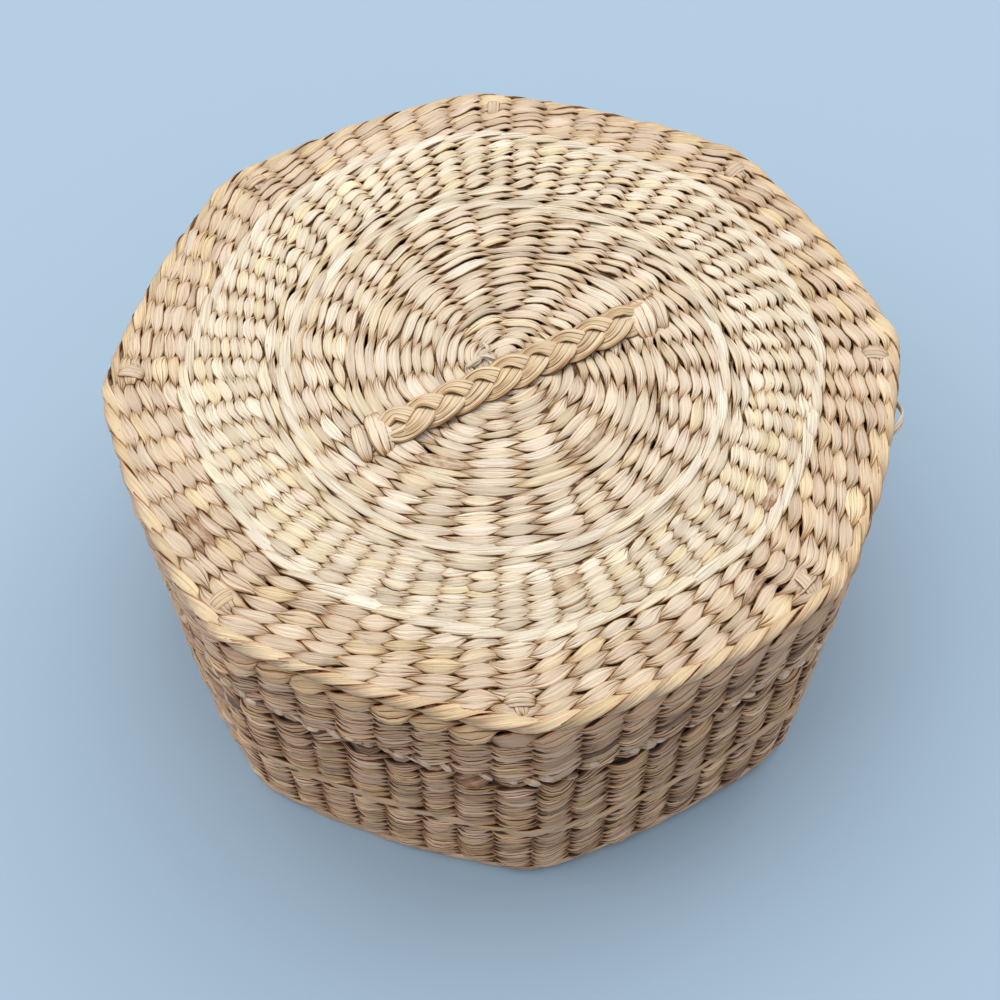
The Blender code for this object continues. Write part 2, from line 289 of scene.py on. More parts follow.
weaveStyle = {
    "height": 1.0,  # from the middle of the weave to the middle of a pad
    "padThick": 0.55,  # half of it
    "padFill": 0.575,  # half a pad's width, as a share of the space it has
    "crossFill": 0.13,
    "behindFill": 0.58,  # half a strand's width behind a stake, as a share of the row
    "duty": 0.44,  # how much longer a pad is than the space between two crossings
    "headLift": 0.50,  # the head of a pad lies over the tail of the one before
    "lead": 0.25,  # radians: a strand comes up early and goes down early
    "headShape": 0.80,  # lower is blunter
    "tailShape": 1.25,
    "twist": 0.30,  # how far a crossing strand stands off the row's middle, in row widths
    "lean": -0.13,  # which edge of a pad stands out: above 0 the outer or the lower one
    "tuck": 0.0,  # shade on the part that lies under the row above
    "grooveDepth": 0.28,
    "bellyGroove": 0.05,  # what is left of the grooves in the middle of a pad
    "layerStep": 0.07,
    "section": "fine",
    # where a strand has its rings, counted in stakes from the middle of a pad; where few stakes stand a
    # pad is long, and needs more of them to stay round
    "places": [-0.71, -0.63, -0.54, -0.4, -0.2, 0.02, 0.2, 0.36, 0.48, 0.61, 0.84, 1.1],
    "fewStakes": 8,
    "longPlaces": [-0.64, -0.56, -0.49, -0.41, -0.31, -0.2, -0.07, 0.06, 0.19, 0.31, 0.42, 0.51, 0.6,
                   0.68, 0.8, 0.93, 1.07, 1.2, 1.3],
    # how much pads differ
    "widthSpread": 0.20,
    "placeSpread": 0.06,
    "twistSpread": 0.2,
    "liftSpread": 0.13,
    "fillSpread": 0.18,
    "ownWidthSpread": 0.05,
    "leanSpread": 0.09,
    "warpSpread": 0.16,
    "grooveSpread": 0.6,
    "leafSpread": 0.7,
    "warmSpread": 0.72,
    "padSpread": 0.6,
    "layerSpread": 0.35,
    "bleached": 0.004,  # share of the pads
    "bruised": 0.004,
}


def markedPads(band, middle):
    # the row and column of the pad that each of the band's spots falls on
    marked = {}
    for angle, s, mark in band.get("spots", ()):
        column = round((math.radians(angle) - band["turn"]) / (tau / band["columns"])) % band["columns"]
        marked[(int(np.argmin(np.abs(middle[:, column] - s))), column)] = mark
    return marked


def warmInArc(band, side, pads, warm):
    # yellow leaves between two angles, and none outside them
    low, high = band["warmArc"]
    turned = np.degrees(band["turn"] + tau / band["columns"] * (side + 2 * np.arange(pads)))
    turned = (turned + 180) % 360 - 180
    return np.where((turned > low) & (turned < high), 1.6, np.minimum(warm, 0.1))


def perLayerDraws(vary, name, layers):
    return np.stack([vary(name) for layer in range(layers)], -1)


def grooveShade(depth):
    return 0.9 * np.clip(depth / 0.2, 0.05, 1.1)


def twinedRows(rng, surface, onLid, band, **changes):
    # rows of two strands that cross between the stakes, so each stake has one pad in front
    style = {**weaveStyle, **changes}
    section = style["section"]
    rows, columns = band["rows"], band["columns"]
    middle, wide = packRows(rng, rows, columns, band["start"], band["end"], style["widthSpread"])
    marked = markedPads(band, middle)
    pitch = (band["end"] - band["start"]) / rows
    shift = style["placeSpread"] * rng.normal(size=columns)
    pads = columns // 2  # each of the two strands has a pad on every other stake
    places = style["longPlaces"] if columns <= style["fewStakes"] else style["places"]
    offset = np.tile(places, pads)
    padIndex = np.repeat(np.arange(pads), len(places))
    vary = padSpreader(rng, pads, padIndex, style)
    sign = -1 if onLid else 1

    # reach is how far the strand is in front, and share how full the pad is there
    phase = math.pi * offset
    swing = np.cos(phase + style["lead"]) + style["duty"]
    reach = np.maximum(swing, 0) / (1 + style["duty"])
    share = np.where(phase < 0, reach ** style["headShape"], reach ** style["tailShape"])
    facing = 1.25 * swing
    facing = facing / (1 + facing**4) ** 0.25
    behind = offset > 0.75
    cross = style["crossFill"] * pitch
    halfThick = style["padThick"] * (1.15 - 0.15 * share)
    openGroove = 1 - (1 - style["bellyGroove"]) * share**1.5

    strands = []
    for row in range(rows):
        for side in (0, 1):
            first = side + 2 * padIndex
            column = first + offset
            low = np.floor(column).astype(int)
            part = (1 - np.cos(math.pi * (column - low))) / 2
            a, b = low % columns, (low + 1) % columns
            centre = middle[row][a] * (1 - part) + middle[row][b] * part
            stray = shift[a] * (1 - part) + shift[b] * part
            angle = band["turn"] + tau / columns * (column + stray + vary("placeSpread") * share)
            twist = style["twist"] * pitch * (1 + vary("twistSpread"))
            s = centre + sign * twist * np.sin(phase)
            point, normal = surfaceFrame(surface, angle, s, onLid)
            lift = (vary("liftSpread") - style["headLift"] * np.sin(phase)) * share
            path = point + normal * (style["height"] * facing + lift)[:, None]

            full = share ** np.clip(1 + vary("fillSpread"), 0.6, 1.5)
            slope = np.linalg.norm(surface(angle, s + 0.05) - surface(angle, s - 0.05), axis=-1) / 0.1
            own = wide[row][first % columns] * np.maximum(slope, 1)
            padWidth = style["padFill"] * own * (1 + vary("ownWidthSpread"))
            halfWidth = np.where(behind, style["behindFill"] * pitch, cross + (padWidth - cross) * full)
            lean = style["lean"] * share + vary("leanSpread")
            depth = style["grooveDepth"] * np.abs(1 + vary("grooveSpread")) * openGroove
            layerRise = perLayerDraws(vary, "layerStep", 4)
            warp = vary("warpSpread")

            tone, warm, mark = leafRuns(rng, pads, style)
            if "warmArc" in band:
                warm = warmInArc(band, side, pads, warm)
            for (spotRow, spotColumn), value in marked.items():
                if spotRow == row and spotColumn % 2 == side:
                    mark[spotColumn // 2] = value
                    tone[spotColumn // 2] = 0.3
            tones = tone[padIndex][:, None] + perLayer(section, perLayerDraws(vary, "layerSpread", 4))
            # painted shade toward a pad's ends where it goes under, in its grooves, at its edges, under the
            # row above and on its back
            fold = foldMarks(section, 0.5 * (1 - reach) ** 1.7, grooveShade(depth), 1.0, style["tuck"],
                             np.clip(4 * reach, 0, 1))
            length = tau * np.hypot(point[:, 0], point[:, 1]).mean()
            along = (column - column[0]) / columns * length
            strands.append(leafStrand(path, normal, halfWidth, halfThick, section, along, True, lean, warp,
                                      depth, layerRise, tone=tones, warm=warm[padIndex],
                                      mark=mark[padIndex], fold=fold))
    return strands


waleStyle = {
    "height": 0.95,
    "thick": 0.62,  # half of it
    "middleWidth": 0.78,  # half a strip's width at its middle, as a share of half the row
    "endWidth": 0.24,
    "cross": 0.92,  # how far its ends stand off the row's middle, as a share of half the row
    "lift": 0.2,
    "lean": 0.10,
    # painted shade at a strip's ends and at its edges
    "endShade": 0.8,
    "edge": 1.0,
    "under": 0.0,  # shade on the half that lies over the outer edge
    "headLift": 0.4,  # the head of a strip lies over the tail of the one before
    "grooveDepth": 0.12,
    "layerStep": 0.05,
    "wander": 0.25,  # how far the row leaves its line, five times round
    "section": "fine",
    # where a strand has its rings, counted in stakes from the start of a strip
    "places": [-0.2, -0.05, 0.12, 0.32, 0.55, 0.8, 1.05, 1.3, 1.55, 1.78, 1.95, 2.1, 2.4, 2.65],
    # how much strips differ
    "placeSpread": 0.05,
    "crossSpread": 0.15,
    "liftSpread": 0.12,
    "ownWidthSpread": 0.12,
    "leanSpread": 0.1,
    "warpSpread": 0.16,
    "grooveSpread": 0.6,
    "leafSpread": 0.5,
    "warmSpread": 0.4,
    "padSpread": 0.5,
    "layerSpread": 0.2,
    "bleached": 0.0,
    "bruised": 0.01,
}


def waleRow(rng, surface, onLid, band, **changes):
    # a row of three strands, each over two stakes and behind one; they make one closed line
    style = {**waleStyle, **changes}
    section = style["section"]
    columns = band["columns"]
    half = (band["end"] - band["start"]) / 2
    middle = (band["end"] + band["start"]) / 2
    offset = np.tile(style["places"], columns)
    padIndex = np.repeat(np.arange(columns), len(style["places"]))
    column = 3 * padIndex + offset
    vary = padSpreader(rng, columns, padIndex, style)
    sign = -1 if onLid else 1

    inFront = np.clip(1 - np.abs((offset - 1) / 1.12) ** 3, 0, 1)
    returning = ease((offset - 2.0) / 0.8)
    slide = np.where(offset <= 2.0, 1 - offset, -1 + 2 * returning)  # 1 at a strip's head, -1 at its tail
    wander = style["wander"] * np.cos(column * tau / columns * 5 + rng.uniform(0, tau))
    s = middle + wander - sign * style["cross"] * half * slide * (1 + vary("crossSpread"))
    angle = band["turn"] + tau / columns * (column + 0.5 + vary("placeSpread") * inFront)
    point, normal = surfaceFrame(surface, angle, s, onLid)
    up = style["height"] * (2 * inFront**0.8 - 1) + style["lift"] + vary("liftSpread") * inFront
    up += style["headLift"] * slide * inFront
    path = point + normal * up[:, None]

    endWidth = style["endWidth"] * half
    middleWidth = style["middleWidth"] * half * (1 + vary("ownWidthSpread"))
    halfWidth = endWidth + (middleWidth - endWidth) * inFront
    depth = style["grooveDepth"] * np.abs(1 + vary("grooveSpread")) * (1 - 0.7 * inFront**1.5)
    layerRise = perLayerDraws(vary, "layerStep", 3)
    lean = style["lean"] + vary("leanSpread")
    warp = vary("warpSpread")

    tone, warm, mark = leafRuns(rng, columns, style)
    tones = tone[padIndex][:, None] + perLayer(section, perLayerDraws(vary, "layerSpread", 3))
    # painted shade at a strip's ends, on the half set by under, in grooves, at edges and on its back
    inner = style["endShade"] * (1 - inFront) ** 1.3 + style["under"] * ease((slide + 0.6) / 1.6)
    fold = foldMarks(section, inner, grooveShade(depth), style["edge"], 0.0, np.clip(3 * inFront, 0, 1))
    length = 3 * tau * np.hypot(point[:, 0], point[:, 1]).mean()
    along = (column - column[0]) / (3 * columns) * length
    return [leafStrand(path, normal, halfWidth, style["thick"], section, along, True, lean, warp, depth,
                       layerRise, tone=tones, warm=warm[padIndex], mark=mark[padIndex], fold=fold)]


layout = {
    "leafShift": 91.7,  # each strand reads another part of the grain
    "stripEdge": 0.04,  # what stays free at a strip's sides in the bake layout, as a share of the strip
    "stripEnd": 0.002,
    "capPlace": (0.001, 0.0008),
    "capSize": (0.0008, 0.0007),
}


def bakeChunks(strands):
    # how many strips of the bake layout each strand takes, so that none is long and thin
    lengths = [max(1.0, one["along"][-1]) for one in strands]
    girths = [max(1.0, np.linalg.norm(np.diff(one["rings"][0], axis=0), axis=-1).sum()) for one in strands]
    side = math.sqrt(sum(a * b for a, b in zip(lengths, girths)))
    return [max(1, round(a / side)) for a in lengths]


def faceCorners(u, v):
    return np.stack([u[0], v[0], u[1], v[0], u[1], v[1], u[0], v[1]], -1).reshape(-1, 2)


def bakeCorners(i, j, spans, points, chunks, strip, strips):
    # the strand's faces in its strips of the bake layout
    perChunk = spans / chunks
    chunk = np.minimum((i / perChunk).astype(int), chunks - 1)
    end, edge = layout["stripEnd"], layout["stripEdge"]
    u = [end + (1 - 2 * end) * np.minimum((k - chunk * perChunk) / perChunk, 1) for k in (i, i + 1)]
    v = [(strip + chunk + edge + (1 - 2 * edge) * k / points) / strips for k in (j, j + 1)]
    return faceCorners(u, v)


def capCorners(points, row):
    # a strand's flat end in the bake layout
    turn = np.linspace(0, tau, points, endpoint=False)
    u = layout["capPlace"][0] + layout["capSize"][0] * np.cos(turn)
    v = row + layout["capPlace"][1] + layout["capSize"][1] * np.sin(turn)
    return np.stack([u, v], -1)


def makeMesh(name, coords, quads, caps, layouts, marks):
    mesh = bpy.data.meshes.new(name)
    mesh.vertices.add(len(coords))
    mesh.vertices.foreach_set("co", coords.astype(np.float32).ravel())
    loops = np.concatenate([quads.reshape(-1)] + caps).astype(np.int32)
    capStarts = 4 * len(quads) + np.cumsum([0] + [len(cap) for cap in caps])[:-1]
    starts = np.concatenate([4 * np.arange(len(quads)), capStarts]).astype(np.int32)
    mesh.loops.add(len(loops))
    mesh.loops.foreach_set("vertex_index", loops)
    mesh.polygons.add(len(starts))
    mesh.polygons.foreach_set("loop_start", starts)
    mesh.update(calc_edges=True)
    for layer, values in layouts.items():
        mesh.uv_layers.new(name=layer).data.foreach_set("uv", values.astype(np.float32).ravel())
    for key, values in marks.items():
        attribute = mesh.attributes.new(key, "FLOAT", "POINT")
        attribute.data.foreach_set("value", values.astype(np.float32))
    mesh.polygons.foreach_set("use_smooth", np.ones(len(starts), bool))
    return mesh


def buildPiece(name, strands, finish, body, slot, replaced=()):
    # one mesh from its strands, with the leaf coordinates and marks that the material reads
    coords, quads, caps = [], [], []
    leafUv, bakeUv, capLeafUv, capBakeUv = [], [], [], []
    chunks = bakeChunks(strands)
    strips = sum(chunks)
    first, strip = 0, 0
    for number, one in enumerate(strands):
        count, points = one["rings"].shape[:2]
        coords.append(one["rings"].reshape(-1, 3))
        grid = first + np.arange(count * points).reshape(count, points)
        spans = count if one["closed"] else count - 1
        i = np.repeat(np.arange(spans), points)
        j = np.tile(np.arange(points), spans)
        iNext, jNext = (i + 1) % count, (j + 1) % points
        quads.append(np.stack([grid[i, j], grid[iNext, j], grid[iNext, jNext], grid[i, jNext]], -1))
        step = one["along"][-1] / max(1, count - 1)
        along = np.append(one["along"], one["along"][-1] + step) + layout["leafShift"] * number
        leafUv.append(faceCorners((along[i], along[i + 1]), one["across"][[j, jNext]]))
        bakeUv.append(bakeCorners(i, j, spans, points, chunks[number], strip, strips))
        if not one["closed"]:
            for last, order in ((0, 1), (count - 1, -1)):
                caps.append(grid[last][::order])
                capLeafUv.append(np.stack([np.full(points, along[last]), one["across"][::order]], -1))
                capBakeUv.append(capCorners(points, strip / strips))
        first += count * points
        strip += chunks[number]
    quads = np.concatenate(quads)
    layouts = {"leafUv": np.concatenate(leafUv + capLeafUv), "OFBake": np.concatenate(bakeUv + capBakeUv)}
    marks = {key: np.concatenate([one[key].reshape(-1) for one in strands]) for key in leafMarks}
    mesh = makeMesh(name, np.concatenate(coords) * mm, quads, caps, layouts, marks)
    mesh.materials.append(materials[finish])
    piece = bpy.data.objects.new(name, mesh)
    bpy.context.scene.collection.objects.link(piece)
    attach(piece, body)
    if replaced:
        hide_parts(*replaced)
    triangles = 2 * len(quads) + sum(len(cap) - 2 for cap in caps)
    print("  piece", name, len(strands), "strands", triangles, "triangles")


def colour4(values):
    return (*values, 1.0)


def addNode(tree, kind, **values):
    node = tree.nodes.new(kind)
    for key, value in values.items():
        setattr(node, key, value)
    return node


def feed(tree, value, socket):
    # a number, a colour or another node's output goes into a socket
    if isinstance(value, (int, float)):
        socket.default_value = value
    elif isinstance(value, tuple):
        socket.default_value = colour4(value)
    else:
        tree.links.new(value, socket)


def mathNode(tree, operation, a, b=None, clamp=False):
    node = addNode(tree, "ShaderNodeMath", operation=operation, use_clamp=clamp)
    feed(tree, a, node.inputs[0])
    if b is not None:
        feed(tree, b, node.inputs[1])
    return node.outputs[0]


def mixColour(tree, share, a, b, blend="MIX"):
    node = addNode(tree, "ShaderNodeMix", data_type="RGBA", blend_type=blend)
    for index, value in ((0, share), (6, a), (7, b)):
        feed(tree, value, node.inputs[index])
    return node.outputs[2]


def mapRange(tree, value, fromMin, fromMax, toMin, toMax):
    node = addNode(tree, "ShaderNodeMapRange", interpolation_type="SMOOTHSTEP")
    for index, number in enumerate((value, fromMin, fromMax, toMin, toMax)):
        feed(tree, number, node.inputs[index])
    return node.outputs[0]


def attributeValue(tree, name):
    return addNode(tree, "ShaderNodeAttribute", attribute_name=name).outputs["Fac"]


# the leaf's grain, noises stretched along it: scale along and across, shift, detail and roughness
grain = {
    "fibre": (0.05, 5.5, 3.0, 4.0, 0.62),
    "fine": (0.12, 16.0, 11.0, 2.0, 0.5),
    "patch": (0.11, 0.7, 5.0, 3.0, 0.55),
    "blotch": (0.22, 1.3, 33.0, 3.0, 0.6),
    "speck": (0.9, 2.4, 71.0, 1.0, 0.5),
    "crease": (0.025, 2.1, 21.0, 1.5, 0.4),
    "secondCrease": (0.03, 3.4, 47.0, 1.0, 0.4),
    "thirdCrease": (0.04, 5.2, 83.0, 1.0, 0.4),
}
grainShift = (1, 0.37, 1.7)  # how each noise is moved, in parts of its shift
# a crease runs where its noise crosses a level: level, width and strength
creaseLines = {
    "crease": (0.5, 0.045, 1.0),
    "secondCrease": (0.46, 0.02, 0.7),
    "thirdCrease": (0.52, 0.03, 0.8),
}


def grainNoise(tree, name):
    along, across, shift, detail, roughness = grain[name]
    place = addNode(tree, "ShaderNodeUVMap", uv_map="leafUv").outputs[0]
    moves = {"MULTIPLY": (along, across, 1), "ADD": tuple(shift * part for part in grainShift)}
    for operation, vector in moves.items():
        node = addNode(tree, "ShaderNodeVectorMath", operation=operation)
        tree.links.new(place, node.inputs[0])
        node.inputs[1].default_value = vector
        place = node.outputs[0]
    noise = addNode(tree, "ShaderNodeTexNoise", noise_dimensions="3D")
    for key, value in (("Vector", place), ("Scale", 1.0), ("Detail", detail), ("Roughness", roughness)):
        feed(tree, value, noise.inputs[key])
    return noise.outputs["Fac"]


# what the leaf group takes in; a finish below changes some of it
leafLook = {
    "Leaf": (0.6, 0.5, 0.3),
    "Warm leaf": (0.7, 0.5, 0.25),
    "Dusky leaf": (0.5, 0.4, 0.35),
    "Bleached": (0.86, 0.80, 0.68),
    "Bruised": (0.30, 0.13, 0.05),
    # the near-black painted shadow of the deepest gaps
    "Deep shade": (0.085, 0.036, 0.014),
    "Crease tint": (0.32, 0.165, 0.07),
    "Shade tint": (0.82, 0.57, 0.29),
    "Cut face": (0.75, 0.66, 0.52),
    "Tone spread": 0.085,
    "Fibre strength": 0.42,
    "Crease strength": 0.95,
    "Fold strength": 0.9,
    "Sheen roughness": 0.46,
}
# a whiter tint for the palest leaves: partly their own colour, partly a painted sheen
paleAndSheenTint = (0.955, 1.0, 1.07)


def makeLeafGroup():
    # dried leaf: fibres and creases along the strand, leaf to leaf colour, painted shade in folds and gaps,
    # cut faces
    group = bpy.data.node_groups.new("driedLeaf", "ShaderNodeTree")
    for name, value in leafLook.items():
        isColour = isinstance(value, tuple)
        kind = "NodeSocketColor" if isColour else "NodeSocketFloat"
        socket = group.interface.new_socket(name=name, in_out="INPUT", socket_type=kind)
        socket.default_value = colour4(value) if isColour else value
    for name, kind in (("Colour", "NodeSocketColor"), ("Roughness", "NodeSocketFloat"),
                       ("Height", "NodeSocketFloat")):
        group.interface.new_socket(name=name, in_out="OUTPUT", socket_type=kind)
    inside = addNode(group, "NodeGroupInput").outputs
    out = addNode(group, "NodeGroupOutput")

    def calc(operation, a, b=None, clamp=False):
        return mathNode(group, operation, a, b, clamp)

    def mapped(value, *limits):
        return mapRange(group, value, *limits)

    def mix(share, a, b, blend="MIX"):
        return mixColour(group, share, a, b, blend)

    tone, warm = attributeValue(group, "tone"), attributeValue(group, "warm")
    mark, fold = attributeValue(group, "mark"), attributeValue(group, "fold")
    fibre, fine, patch = grainNoise(group, "fibre"), grainNoise(group, "fine"), grainNoise(group, "patch")
    fibreOff, fineOff = calc("SUBTRACT", fibre, 0.5), calc("SUBTRACT", fine, 0.5)
    lines = []
    for name, (level, width, strength) in creaseLines.items():
        off = calc("ABSOLUTE", calc("SUBTRACT", grainNoise(group, name), level))
        lines.append(mapped(off, 0.0, width, strength, 0.0))
    creases = calc("MAXIMUM", calc("MAXIMUM", lines[0], lines[1]), lines[2])

    # leaf to leaf colour
    colour = mix(mapped(warm, 0.0, 1.6, 0.0, 1.0), inside["Leaf"], inside["Warm leaf"])
    colour = mix(mapped(warm, -1.6, 0.0, 1.0, 0.0), colour, inside["Dusky leaf"])
    patchTone = calc("MULTIPLY", calc("SUBTRACT", patch, 0.5), 1.6)
    shade = calc("MULTIPLY", calc("ADD", tone, patchTone), inside["Tone spread"])
    fibreTone = calc("ADD", fibreOff, calc("MULTIPLY", fineOff, 0.6))
    fibreTone = calc("MULTIPLY", fibreTone, inside["Fibre strength"])
    level = calc("ADD", calc("ADD", shade, fibreTone), 1.0)
    scaled = addNode(group, "ShaderNodeVectorMath", operation="SCALE")
    group.links.new(colour, scaled.inputs[0])
    group.links.new(level, scaled.inputs["Scale"])
    # the palest leaves and fibres are whiter: partly their own colour, partly a painted sheen
    paleAndSheen = mapped(level, 0.97, 1.15, 0.0, 1.0)
    colour = mix(paleAndSheen, scaled.outputs[0], paleAndSheenTint, "MULTIPLY")

    # a bruise covers a leaf unevenly, in long blotches, and small specks are all over
    colour = mix(mapped(mark, -1.0, 0.0, 1.0, 0.0), colour, inside["Bleached"])
    blotch = mapped(grainNoise(group, "blotch"), 0.38, 0.62, 0.25, 1.0)
    bruise = calc("MULTIPLY", mapped(mark, 0.0, 1.0, 0.0, 1.0), blotch)
    speck = mapped(grainNoise(group, "speck"), 0.76, 0.80, 0.0, 0.55)
    colour = mix(calc("MAXIMUM", bruise, speck), colour, inside["Bruised"])

    # painted shade: crease lines darken more where the leaf turns under, the shaded parts go brown, and the
    # deepest gaps go near black
    gather = calc("ADD", calc("MULTIPLY", fold, 2.4), 0.12)
    gather = calc("MULTIPLY", gather, inside["Crease strength"])
    creaseShade = calc("MULTIPLY", creases, gather, clamp=True)
    colour = mix(creaseShade, colour, inside["Crease tint"], "MULTIPLY")
    brown = calc("MULTIPLY", mapped(fold, 0.04, 0.6, 0.0, 1.0), 0.88)
    colour = mix(brown, colour, inside["Shade tint"], "MULTIPLY")
    deep = mapped(fold, 0.42, 0.85, 0.0, 1.0)
    foldShade = calc("MULTIPLY", deep, inside["Fold strength"], clamp=True)
    colour = mix(foldShade, colour, inside["Deep shade"])
    pith = calc("MULTIPLY", attributeValue(group, "cut"), mapped(fine, 0.3, 0.6, 0.45, 1.0))
    colour = mix(pith, colour, inside["Cut face"])
    group.links.new(colour, out.inputs["Colour"])

    rough = calc("ADD", inside["Sheen roughness"], calc("MULTIPLY", fibreOff, 0.35), clamp=True)
    group.links.new(rough, out.inputs["Roughness"])
    ridge = calc("ADD", calc("MULTIPLY", fibre, 0.5), calc("MULTIPLY", fine, 0.22))
    ridge = calc("SUBTRACT", ridge, calc("MULTIPLY", creases, 0.45))
    group.links.new(ridge, out.inputs["Height"])
    return group


leafGroup = makeLeafGroup()
leafSurface = {"bump": 0.75, "bumpMetres": 0.0004, "specular": 0.45, "ior": 1.45}


def leafMaterial(name, finish):
    material = bpy.data.materials.new(name)
    material.use_nodes = True
    tree = material.node_tree
    tree.nodes.clear()
    out = addNode(tree, "ShaderNodeOutputMaterial")
    shader = addNode(tree, "ShaderNodeBsdfPrincipled")
    leaf = addNode(tree, "ShaderNodeGroup", node_tree=leafGroup)
    for key, value in {**leafLook, **finish}.items():
        feed(tree, value, leaf.inputs[key])
    bump = addNode(tree, "ShaderNodeBump")
    for key, value in (("Strength", leafSurface["bump"]), ("Distance", leafSurface["bumpMetres"]),
                       ("Height", leaf.outputs["Height"])):
        feed(tree, value, bump.inputs[key])
    for key, value in (("Base Color", leaf.outputs["Colour"]), ("Roughness", leaf.outputs["Roughness"]),
                       ("Normal", bump.outputs[0]), ("Specular IOR Level", leafSurface["specular"]),
                       ("IOR", leafSurface["ior"])):
        feed(tree, value, shader.inputs[key])
    tree.links.new(shader.outputs[0], out.inputs[0])
    return material


def grass(leaf, warm, dusky, changes=None):
    # a leaf's own colour, its yellower and its duller kind, and what else is not as in leafLook
    return {"Leaf": leaf, "Warm leaf": warm, "Dusky leaf": dusky, **(changes or {})}


finishes = {
    "dullGrass": grass((0.820, 0.685, 0.530), (0.84, 0.695, 0.475), (0.76, 0.625, 0.48)),
    "brightGrass": grass((0.860, 0.745, 0.580), (0.87, 0.735, 0.485), (0.82, 0.70, 0.535)),
    "outerGrass": grass((0.750, 0.592, 0.432), (0.79, 0.617, 0.380), (0.70, 0.55, 0.405)),
    "paleGrass": grass((0.880, 0.785, 0.635), (0.88, 0.765, 0.55), (0.83, 0.73, 0.58)),
    "ropeGrass": grass((0.790, 0.605, 0.375), (0.82, 0.62, 0.34), (0.75, 0.56, 0.36),
                       {"Crease strength": 0.6, "Shade tint": (0.84, 0.58, 0.46)}),
    "edgeGrass": grass((0.735, 0.460, 0.275), (0.80, 0.51, 0.265), (0.66, 0.40, 0.245),
                       {"Crease strength": 1.3, "Shade tint": (0.80, 0.54, 0.38)}),
    "tanGrass": grass((0.750, 0.495, 0.315), (0.79, 0.515, 0.275), (0.67, 0.43, 0.285),
                      {"Bleached": (0.60, 0.47, 0.34), "Tone spread": 0.17, "Crease strength": 1.3,
                       "Shade tint": (0.80, 0.52, 0.27), "Fold strength": 1.0}),
    "neckGrass": grass((0.720, 0.490, 0.300), (0.75, 0.50, 0.27), (0.66, 0.45, 0.285)),
    "stubGrass": grass((0.700, 0.480, 0.310), (0.74, 0.50, 0.28), (0.62, 0.41, 0.27),
                       {"Cut face": (0.90, 0.71, 0.545), "Tone spread": 0.13}),
    "accentGrass": grass((0.700, 0.450, 0.260), (0.74, 0.48, 0.24), (0.64, 0.41, 0.25)),
    # the stakes are far darker than the leaves: their own brown and a painted shade, as they show only in the
    # gaps
    "stakeGrass": grass((0.140, 0.080, 0.043), (0.15, 0.08, 0.04), (0.12, 0.07, 0.04)),
    "lidStakeGrass": grass((0.200, 0.120, 0.070), (0.21, 0.12, 0.06), (0.17, 0.10, 0.06)),
    "plaitGrass": grass((0.760, 0.605, 0.405), (0.78, 0.61, 0.35), (0.71, 0.56, 0.39)),
}
materials = {name: leafMaterial(name, finish) for name, finish in finishes.items()}
print("materials made")

# four stakes cross in the middle of the lid and of the base, and their number doubles outward
turns = {4: math.radians(6.0), 8: math.radians(6.0) + tau / 16}
for columns in (16, 32, 64):
    turns[columns] = turns[columns // 2] + tau / (2 * columns)


def band(start, end, rows, columns, **more):
    # rows between two places on a face, over this many stakes; a spot is one pad that is bleached (mark
    # below 0) or bruised: angle in degrees, place and mark
    return {"start": start, "end": end, "rows": rows, "columns": columns, "turn": turns[columns], **more}


def weave(pieces, body):
    # a piece with a seed starts its own random draws, and the next ones go on with them
    for piece in pieces:
        if "seed" in piece:
            rng = np.random.default_rng(piece["seed"])
        strands = []
        for one in piece["bands"]:
            strands += piece["rows"](rng, piece["face"], body == "lid", one, **piece["style"])
        buildPiece(piece["name"], strands, piece["finish"], body, piece["slot"], piece.get("replaces", ()))


